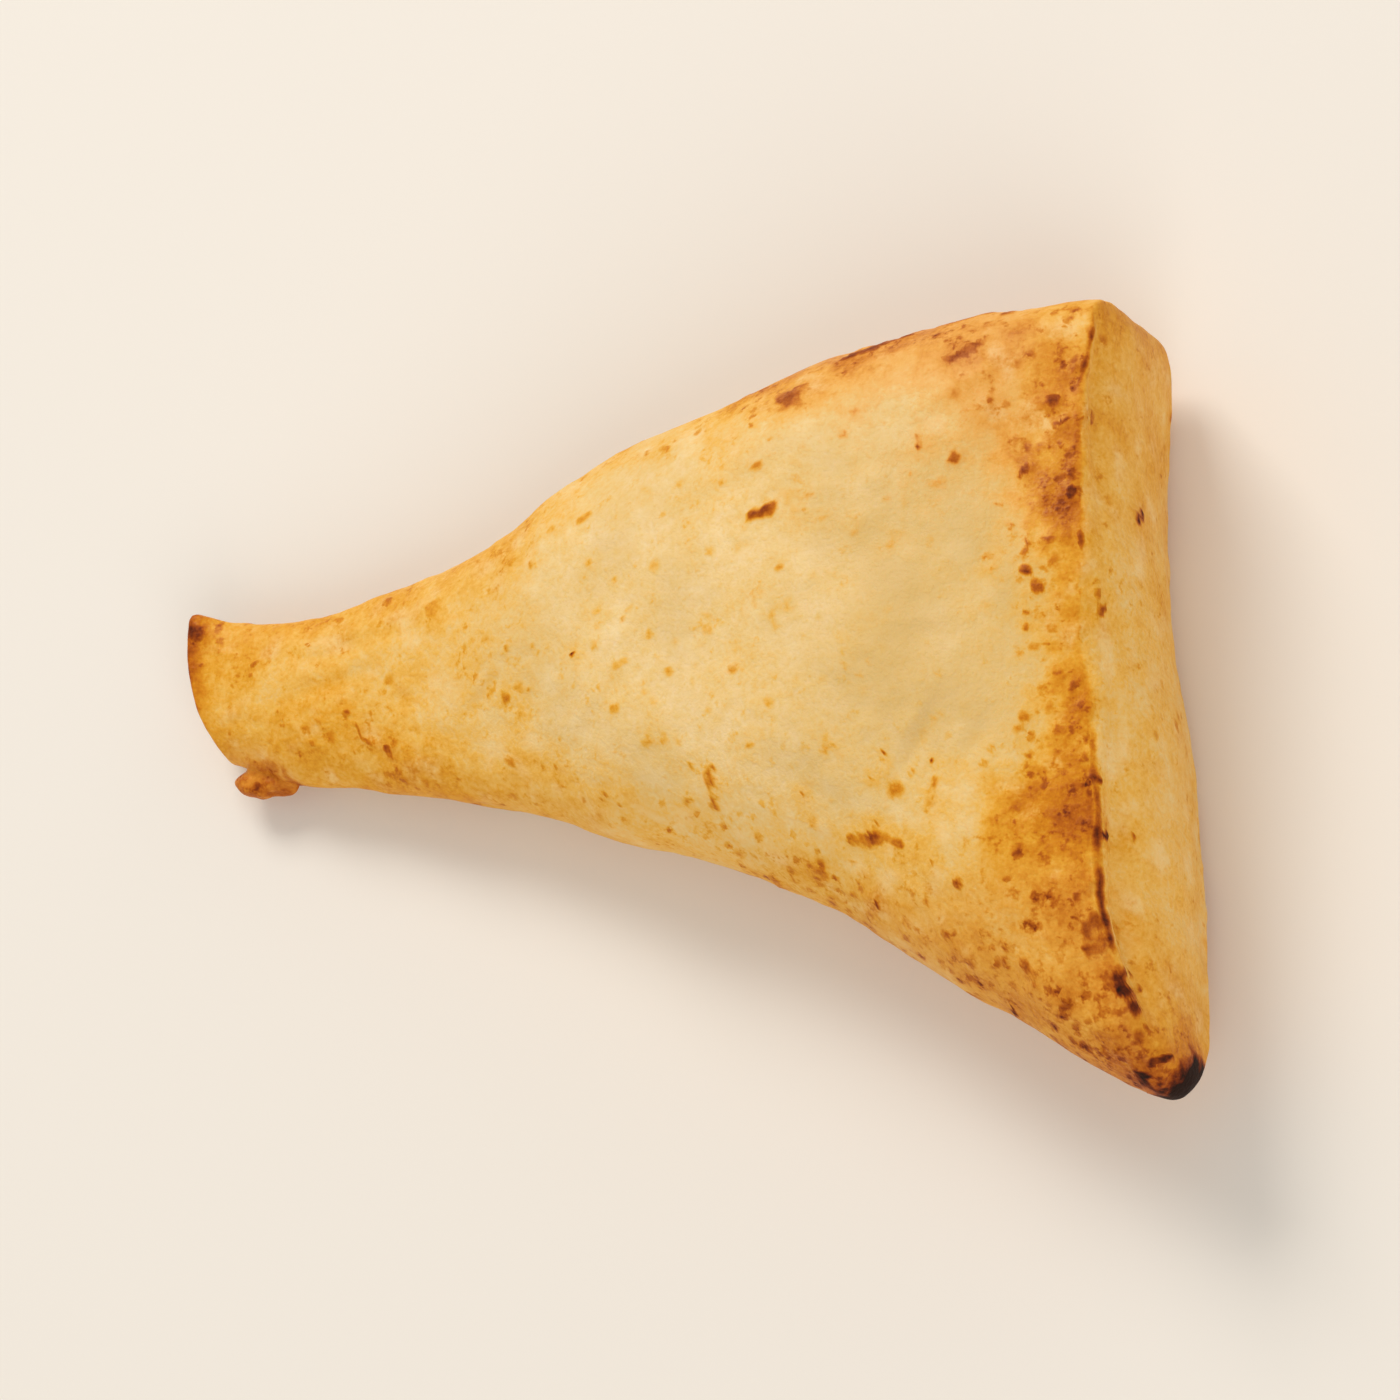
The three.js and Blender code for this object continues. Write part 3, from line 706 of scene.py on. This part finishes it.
def face_browning(skin, patchy, fine):
    """Browning on the face: along the two long folds and the lip, low on the face, and on the tail."""
    fine_factor = eased(FINE_BROWNING, fine + FINER_SHARE * skin.waves(*FINER))
    uneven = 1 + (fine_factor + PATCHY_BROWNING * patchy - 1) * eased(UNEVENNESS, skin.x)
    lip_reach = along(LIP_BROWNING, skin.y)
    lip_strength = along(LIP_BROWNING, skin.y, 2)
    gilding = eased(TAIL_PART, skin.x) * eased(TAIL_GILDING, skin.from_south)
    return either(
        eased(NORTH_BROWNING, skin.x) * bell(skin.from_north, NORTH_REACH) * uneven,
        eased(SOUTH_BROWNING, skin.x) * bell(skin.from_south, SOUTH_REACH) * uneven,
        lip_strength * bell(skin.from_lip, lip_reach) * uneven,
        eased(LOW_PART, skin.x) * eased(LOW_BROWNING, skin.y),
        gilding + eased(TAIL_BROWNING, skin.x),
    )


def bake_level(skin, halo):
    """How far each part of the skin is baked."""
    patchy = skin.waves(*PATCHY)
    fine = skin.waves(*FINE)
    waves = np.array([skin.waves(*BROAD), patchy, fine])
    face = FACE_BAKE + np.dot(FACE_WAVES, waves) + face_browning(skin, patchy, fine)
    wall = eased(WALL_BAKE, skin.y) + np.dot(WALL_WAVES, waves)
    back = BACK_BAKE + np.dot(BACK_WAVES, waves)
    level = face * (1 - skin.wall) * (1 - skin.back) + wall * skin.wall + back * skin.back
    level += eased(TIP_BROWNING, skin.distance(PINCHED_TIP)) + HALO_BROWNING * halo
    on_flake = eased(FLAKE_EDGE, skin.near(FLAKE, FLAKE_RADIUS) * (1 + fine)) * eased(FLAKE_END, skin.y)
    level += on_flake * (FLAKE_BAKE + skin.layers(FLAKE_WAVES) - level)
    level += RIM_BROWNING * bell(skin.x - TAIL_END, RIM_REACH) * (1 + patchy)
    level += skin.layers(MOTTLE)
    return np.where(level > HELD_FROM, HELD_FROM + HELD_SHARE * (level - HELD_FROM), level)


# ---------------------------------------------------------------- specks, flour, blush, filling, oil, char and painted slit shade

# How thick the specks lie along the two folds [x, share] and the lip [y, share], and how far they
# reach in, in mm.
NORTH_SPECKS = [(-10, 0.0), (10, 0.4), (31, 0.4), (37, 0.08)]
NORTH_SPECK_REACH = 4.0
SOUTH_SPECKS = [(-8, 0.0), (8, 0.5)]
SOUTH_SPECK_REACH = 5.0
LIP_SPECKS = [(26, 0.6), (30, 0.24)]
LIP_SPECK_REACH = 6.5
TIP_SPECKS = 0.15
TIP_SPECK_RADIUS = 16.0
# And in patches: their waves [length, seed], their edges [wave, share], and how thick there.
SPECK_PATCHES = (6.0, 80.0)
SPECK_PATCH_EDGES = [(-0.35, 0.0), (0.5, 1.0)]
PATCH_SPECKS = 0.3
PLAIN_SPECKS = 0.12
FEWER_ON_WALL = 0.1

FLOUR = [(2.6, 120.0, 1.0), (1.2, 125.0, 0.5)]
FLOUR_EDGES = [(0.1, 0.0), (0.8, 1.0)]

# Blush at the full corner and low on the face, each as [x, share] times [y, share], and round the
# flake as [mm from it, share].
CORNER_BLUSH_X = [(4, 0.0), (24, 1.0), (33, 1.0), (38, 0.3)]
CORNER_BLUSH_Y = [(6, 0.0), (24, 1.0)]
LOW_BLUSH_X = [(12, 0.0), (26, 1.0)]
LOW_BLUSH_Y = [(-20, 0.45), (-13, 0.0)]
FLAKE_BLUSH = [(3.5, 0.5), (5.0, 0.0)]
LESS_BLUSH_ON_WALL = 0.6

# The filling shows where the dough is thin, as [x, share] times [y, share], in lumps [wave, share],
# and only through pale dough: [bake, share].
THIN_X = [(8, 0.0), (28, 1.0)]
THIN_Y = [(-16, 0.0), (2, 0.55), (12, 0.55), (30, 0.0)]
FILLING_WAVES = [(7.0, 130.0, 1.0), (2.5, 135.0, 0.4)]
FILLING_LUMPS = [(-0.3, 0.0), (0.6, 0.25)]
FILLING_SHOWS = [(0.1, 1.0), (0.45, 0.0)]

OIL = 0.5
OIL_WAVES = [(9.0, 140.0, 0.6), (3.0, 145.0, 0.25)]

# Char along the lip, partly painted shade of the slit under the raw edge, round the burnt tip and at the
# tail's corner. The first is [mm from the lip, share], and the others are a radius and [nearness, darkness].
LIP_CHAR_AND_SHADE_FADE = [(0.14, 1.0), (0.84, 0.0)]
LIP_CHAR_AND_SHADE_WAVES = [(1.5, 97.0, 0.4)]
TIP_CHAR_RADIUS = 5.6
TIP_CHAR = [(-0.05, 0.0), (0.75, 1.25)]
CORNER_CHAR_RADIUS = 2.5
CORNER_CHAR = [(0.1, 0.0), (0.9, 0.84)]
CHAR_EDGES = [(1.6, 90.0, 0.2), (0.8, 95.0, 0.12)]


def speck_share(skin):
    """How thickly the skin is speckled with brown."""
    patchy = eased(SPECK_PATCH_EDGES, skin.waves(*SPECK_PATCHES))
    by_lip = eased(LIP_SPECKS, skin.y) * bell(skin.from_lip, LIP_SPECK_REACH) * skin.face
    share = either(
        eased(NORTH_SPECKS, skin.x) * bell(skin.from_north, NORTH_SPECK_REACH) * skin.face,
        eased(SOUTH_SPECKS, skin.x) * bell(skin.from_south, SOUTH_SPECK_REACH),
        by_lip * (1 + patchy) / 2,
        PATCH_SPECKS * patchy,
        TIP_SPECKS * skin.near(PINCHED_TIP, TIP_SPECK_RADIUS),
    )
    return PLAIN_SPECKS + share - FEWER_ON_WALL * skin.wall


def floury_share(skin):
    """Pale dusty places."""
    return eased(FLOUR_EDGES, skin.layers(FLOUR))


def blush_share(skin):
    """Where the dough is toasted pink rather than golden."""
    full_corner = eased(CORNER_BLUSH_X, skin.x) * eased(CORNER_BLUSH_Y, skin.y)
    low = eased(LOW_BLUSH_X, skin.x) * eased(LOW_BLUSH_Y, skin.y)
    on_flake = eased(FLAKE_BLUSH, skin.distance(FLAKE))
    return either(full_corner, low, on_flake) * (1 - LESS_BLUSH_ON_WALL * skin.wall)


def filling_share(skin, bake):
    """Where the moist filling shows through the pale dough as a duller tone."""
    thin = eased(THIN_X, skin.x) * eased(THIN_Y, skin.y)
    lumps = eased(FILLING_LUMPS, skin.layers(FILLING_WAVES))
    return (lumps + thin) * eased(FILLING_SHOWS, bake) * skin.face


def oiliness(skin):
    """How oily the skin is, from 0 to 1."""
    return np.clip(OIL + skin.layers(OIL_WAVES), 0, 1)


def char_and_slit_shade_level(skin, scorch_and_slit_shade):
    """Where the dough is burnt dark, with painted shade of the slit at the lip: the scorched marks, the lip,
    and the corners.
    """
    ragged = 1 + skin.layers(LIP_CHAR_AND_SHADE_WAVES)
    # The lip line is partly scorch and partly painted shade standing for the slit under the raw edge.
    line = along(LIP_SCORCH_AND_SLIT_SHADE, skin.y) * ragged * along(LIP_CHAR_AND_SHADE_FADE, skin.lip_gap)
    rough = skin.layers(CHAR_EDGES)
    tip = eased(TIP_CHAR, skin.near(BURNT_TIP, TIP_CHAR_RADIUS) + rough)
    corner = eased(CORNER_CHAR, skin.near(TAIL_CORNER, CORNER_CHAR_RADIUS) + rough)
    return np.max([scorch_and_slit_shade, line, tip, corner], axis=0)


# ---------------------------------------------------------------- shader maths


class Field:
    """A shader socket whose arithmetic adds Math nodes."""

    def __init__(self, paint, socket):
        self.paint = paint
        self.socket = socket

    def maths(self, operation, *values):
        """A Math node on some values."""
        return self.paint.add("ShaderNodeMath", {"operation": operation}, dict(enumerate(values)))

    def __add__(self, other):
        return self.maths("ADD", self, other)

    def __sub__(self, other):
        return self.maths("SUBTRACT", self, other)

    def __rsub__(self, other):
        return self.maths("SUBTRACT", other, self)

    def __mul__(self, other):
        return self.maths("MULTIPLY", self, other)

    __radd__ = __add__
    __rmul__ = __mul__

    def output(self, name):
        """Another output of the same node."""
        return Field(self.paint, self.socket.node.outputs[name])

    def at_least(self, other):
        """The greater of two values."""
        return self.maths("MAXIMUM", self, other)

    def clamped(self):
        """Held between 0 and 1."""
        return self.maths("MINIMUM", self.at_least(0.0), 1.0)

    def ramp(self, low, high):
        """0 at low, 1 at high, and smooth between."""
        return self.paint.add(
            "ShaderNodeMapRange",
            {"interpolation_type": "SMOOTHSTEP"},
            {"Value": self, "From Min": low, "From Max": high},
        )


class Paint:
    """A material under construction."""

    def __init__(self, name):
        self.material = bpy.data.materials.new(name)
        self.material.use_nodes = True
        self.tree = self.material.node_tree
        self.tree.nodes.clear()

    def add(self, kind, settings=None, inputs=None, output=0):
        """Adds a node: its settings first, then the values or links of its sockets."""
        node = self.tree.nodes.new(kind)
        for name, value in (settings or {}).items():
            if name == "stops":
                fill_ramp(node.color_ramp, value)
            else:
                setattr(node, name, value)
        for name, value in (inputs or {}).items():
            socket = node.inputs[name]
            if isinstance(value, Field):
                self.tree.links.new(value.socket, socket)
            else:
                socket.default_value = value
        return Field(self, node.outputs[output])

    def attribute(self, name):
        """A value that is kept for each vertex."""
        return self.add("ShaderNodeAttribute", {"attribute_name": name}, output="Fac")

    def noise(self, place, size, detail, roughness):
        """Noise from 0 to 1 with features of about this size, in mm."""
        inputs = {"Vector": place, "Scale": 1 / size, "Detail": detail, "Roughness": roughness}
        return self.add("ShaderNodeTexNoise", {}, inputs, "Fac")

    def mixed(self, share, first, second):
        """A colour between two others."""
        inputs = {0: share, 6: first, 7: second}
        return self.add("ShaderNodeMix", {"data_type": "RGBA"}, inputs, 2)

    def finish(self, inputs):
        """Ends the material in a Principled shader."""
        shader = self.add("ShaderNodeBsdfPrincipled", {}, inputs)
        output = self.tree.nodes.new("ShaderNodeOutputMaterial")
        self.tree.links.new(shader.socket, output.inputs["Surface"])
        return self.material


def fill_ramp(ramp, stops):
    """Gives a colour ramp its stops: [place, colour]."""
    while len(ramp.elements) < len(stops):
        ramp.elements.new(1.0)
    for element, (place, colour) in zip(ramp.elements, stops):
        element.position = place
        element.color = colour


def srgb(red, green, blue):
    """A colour given as it shows on a screen, 0 to 255, as the shader needs it."""
    shown = [level / 255 for level in (red, green, blue)]
    linear = [((c + 0.055) / 1.055) ** 2.4 if c > 0.04 else c / 12.92 for c in shown]
    return (*linear, 1.0)


# ---------------------------------------------------------------- materials

# From pale dough through golden and brown to black: [darkness, colour].
BAKED_COLOURS = [
    (0.0, srgb(243, 210, 154)),
    (0.14, srgb(239, 199, 126)),
    (0.27, srgb(240, 183, 82)),
    (0.38, srgb(231, 161, 42)),
    (0.5, srgb(214, 132, 14)),
    (0.62, srgb(188, 98, 3)),
    (0.75, srgb(150, 65, 2)),
    (0.87, srgb(98, 34, 2)),
    (1.0, srgb(36, 13, 3)),
]
FLOURY_COLOUR = srgb(250, 224, 172)
BLUSH_COLOUR = srgb(236, 166, 100)
FILLING_COLOUR = srgb(216, 176, 104)
FLOOR_COLOUR = srgb(240, 231, 218)
FLOURY_SHARE = 0.3
BLUSH_SHARE = 0.4

# Noise in the material: [size in mm, detail, roughness].
GRAIN = (0.8, 3.0, 0.65)
PORES = (0.35, 1.0, 0.5)
BLOTCHES = (1.4, 3.0, 0.6)
# Specks and freckles: the size of the cells that hold one each, and of the largest, in mm.
SPECK_CELL = 1.15
SPECK_SIZE = 0.62
FRECKLE_CELL = 2.8
FRECKLE_SIZE = 0.85
# How far the grain bends their outlines, in mm.
SPECK_BEND = 1.1
# A cell's luck against the share that has one, and the soft edge of one, each from none to full.
SPECK_LUCK = (0.0, 0.5)
SPECK_EDGE = (0.0, 0.3)
# The share of freckles, and how much more freckles and blotches there are where specks lie thick.
FRECKLE_SHARE = 0.6
FRECKLES_BY_SPECKS = 0.5
BLOTCHES_BY_SPECKS = 0.14
BLOTCH_EDGE = (0.62, 0.78)
# How much darker each pattern makes the dough.
GRAIN_MOTTLE = 0.3
PORE_MOTTLE = 0.16
SPECK_MOTTLE = 0.18
FRECKLE_MOTTLE = 0.22
BLOTCH_MOTTLE = 0.14
CHAR_MOTTLE = 0.5
# The mottle of the char and the painted slit shade comes in over CHAR_SPAN, and the dough turns toasted and
# then burnt over the spans of darkness below.
CHAR_SPAN = (0.0, 0.3)
TOASTED_SPAN = (0.1, 0.3)
BURNT_SPAN = (0.6, 1.0)
# It is pale, and not yet brown, in these spans of lightness.
PALE_SPAN = (0.5, 0.75)
UNBROWNED_SPAN = (0.3, 0.7)
# Grain and pores in the bump, and how deep it is.
GRAIN_HEIGHT = 0.6
PORE_HEIGHT = 0.3
BUMP_STRENGTH = 0.9
BUMP_DEPTH = 0.22 * MM


def specks(place, cell, share, size):
    """Small soft specks: a share of the cells has one, of up to this size in mm."""
    paint = place.paint
    cells = paint.add("ShaderNodeTexVoronoi", {}, {"Vector": place, "Scale": 1 / cell}, "Distance")
    luck = paint.add("ShaderNodeSeparateColor", {}, {0: cells.output("Color")}, "Red")
    radius = (luck - 1 + share).ramp(*SPECK_LUCK) * (size / cell)
    return (radius - cells).ramp(*SPECK_EDGE)


def dough_darkness(paint, place, grain, pores):
    """How dark the dough is: baked and mottled, with specks and freckles, burnt in places, and painted slit
    shade at the lip.
    """
    char = paint.attribute("char")
    speck = paint.attribute("speck")
    bent = paint.add("ShaderNodeVectorMath", {"operation": "ADD"}, {0: place, 1: SPECK_BEND * grain})
    dots = specks(bent, SPECK_CELL, speck, SPECK_SIZE)
    freckle_share = FRECKLE_SHARE + FRECKLES_BY_SPECKS * speck
    freckles = specks(bent, FRECKLE_CELL, freckle_share, FRECKLE_SIZE)
    blotches = (paint.noise(place, *BLOTCHES) + BLOTCHES_BY_SPECKS * speck).ramp(*BLOTCH_EDGE)
    mottle = GRAIN_MOTTLE * (grain - 0.5) + PORE_MOTTLE * (pores - 0.5)
    level = paint.attribute("bake") + mottle + SPECK_MOTTLE * dots
    level = level + FRECKLE_MOTTLE * freckles + BLOTCH_MOTTLE * blotches
    burnt_and_slit_shade = char + CHAR_MOTTLE * (grain - 0.5) * char.ramp(*CHAR_SPAN)
    return level.at_least(burnt_and_slit_shade)


def dough_colour(paint, darkness):
    """The baked colours, with blushed and floury places and the filling where the dough is pale."""
    baked = paint.add("ShaderNodeValToRGB", {"stops": BAKED_COLOURS}, {0: darkness.clamped()}, "Color")
    paleness = (1 - darkness).ramp(*PALE_SPAN)
    toasted = darkness.ramp(*TOASTED_SPAN) * (1 - darkness).ramp(*UNBROWNED_SPAN)
    blushed = paint.mixed(BLUSH_SHARE * paint.attribute("blush") * toasted, baked, BLUSH_COLOUR)
    powdered = paint.mixed(FLOURY_SHARE * paint.attribute("floury") * paleness, blushed, FLOURY_COLOUR)
    return paint.mixed(paint.attribute("filling") * paleness, powdered, FILLING_COLOUR)


def dough_material():
    """Baked dough: its colour follows the values at the vertices, with grain, pores and a little oil."""
    paint = Paint("baked_dough")
    object_place = paint.add("ShaderNodeTexCoord", output="Object")
    place = paint.add("ShaderNodeVectorMath", {"operation": "SCALE"}, {0: object_place, "Scale": 1 / MM})
    grain = paint.noise(place, *GRAIN)
    pores = paint.noise(place, *PORES)
    darkness = dough_darkness(paint, place, grain, pores)
    burnt_and_slit_shade = darkness.ramp(*BURNT_SPAN)
    oily = paint.attribute("oily")
    height = GRAIN_HEIGHT * grain + PORE_HEIGHT * pores
    bump_inputs = {"Height": height, "Strength": BUMP_STRENGTH, "Distance": BUMP_DEPTH}
    return paint.finish(
        {
            "Base Color": dough_colour(paint, darkness),
            "Roughness": 0.62 - 0.2 * oily + 0.2 * burnt_and_slit_shade,
            "Coat Weight": (0.08 * oily - 0.3 * burnt_and_slit_shade).clamped(),
            "Normal": paint.add("ShaderNodeBump", {}, bump_inputs, "Normal"),
            "Coat Roughness": 0.32,
            "Specular IOR Level": 0.14,
            "Subsurface Weight": 0.1,
            "Subsurface Radius": (1.0, 0.55, 0.25),
            "Subsurface Scale": 1.5 * MM,
        }
    )


def floor_material():
    """Pale matt studio paper."""
    paint = Paint("studio_floor")
    return paint.finish({"Base Color": FLOOR_COLOUR, "Roughness": 0.9, "Specular IOR Level": 0.1})


# ---------------------------------------------------------------- pieces

FLOOR_REACH = 3.0


def make_dough():
    """The whole samosa as one piece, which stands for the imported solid."""
    dough = refined_dough()
    skin = Skin(dough)
    scorch_and_slit_shade, halo = scorch_and_slit_shade_marks(skin)
    bake = bake_level(skin, halo)
    skin.store("bake", bake)
    skin.store("floury", floury_share(skin))
    skin.store("filling", filling_share(skin, bake))
    skin.store("blush", blush_share(skin))
    skin.store("oily", oiliness(skin))
    # The char value also holds painted shade: the dark slit at the lip.
    skin.store("char", char_and_slit_shade_level(skin, scorch_and_slit_shade))
    skin.store("speck", speck_share(skin))
    skin.move(relief(skin, scorch_and_slit_shade))
    dough.data.materials.clear()
    dough.data.materials.append(dough_material())
    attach(dough, "root")
    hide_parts("samosa")


def make_floor():
    """A plain pale floor."""
    shape = bmesh.new()
    bmesh.ops.create_grid(shape, x_segments=1, y_segments=1, size=FLOOR_REACH)
    mesh = bpy.data.meshes.new("floor")
    shape.to_mesh(mesh)
    shape.free()
    floor = bpy.data.objects.new("floor", mesh)
    bpy.context.scene.collection.objects.link(floor)
    floor.data.materials.append(floor_material())


# ---------------------------------------------------------------- camera and light

# Places and widths in metres, the lens in mm, and power in watts.
CAMERA_PLACE = Vector((0.3738, -0.2689, 0.9403))
CAMERA_AIM = Vector((0.0022, 0.0044, 0.010))
CAMERA_UP = Vector((0.0887, 0.9647, 0.248))
LENS = 320.0
CLIP_START = 0.01
CLIP_END = 20.0
# Square soft lights: [name, direction that it shines from, distance, width, power].
LIGHTS = [
    ("key", (-0.3, 0.68, 0.67), 1.2, 0.5, 7.5),
    ("fill", (0.35, -0.7, 0.7), 1.4, 1.0, 6.0),
    ("side", (0.6, 0.75, 0.25), 1.4, 0.8, 1.2),
]
WORLD_STRENGTH = 0.5


def make_camera():
    """Looks down on the face from the side of the pinched corner."""
    data = bpy.data.cameras.new("camera")
    data.lens = LENS
    data.clip_start = CLIP_START
    data.clip_end = CLIP_END
    camera = bpy.data.objects.new("camera", data)
    bpy.context.scene.collection.objects.link(camera)
    back = (CAMERA_PLACE - CAMERA_AIM).normalized()
    right = CAMERA_UP.cross(back).normalized()
    up = back.cross(right)
    turned = Matrix((right, up, back)).transposed().to_4x4()
    camera.matrix_world = Matrix.Translation(CAMERA_PLACE) @ turned
    bpy.context.scene.camera = camera


def make_lights():
    """Soft lights that shine at the samosa."""
    for name, shines_from, distance, width, power in LIGHTS:
        direction = Vector(shines_from)
        data = bpy.data.lights.new(name, "AREA")
        data.size = width
        data.energy = power
        light = bpy.data.objects.new(name, data)
        light.location = direction.normalized() * distance
        light.rotation_euler = direction.to_track_quat("Z", "Y").to_euler()
        bpy.context.scene.collection.objects.link(light)


def make_world():
    """White light from all round."""
    world = bpy.data.worlds.new("studio")
    world.use_nodes = True
    background = world.node_tree.nodes["Background"]
    background.inputs["Color"].default_value = (1, 1, 1, 1)
    background.inputs["Strength"].default_value = WORLD_STRENGTH
    bpy.context.scene.world = world
    bpy.context.scene.view_settings.view_transform = "Standard"


make_dough()
make_floor()
make_camera()
make_lights()
make_world()
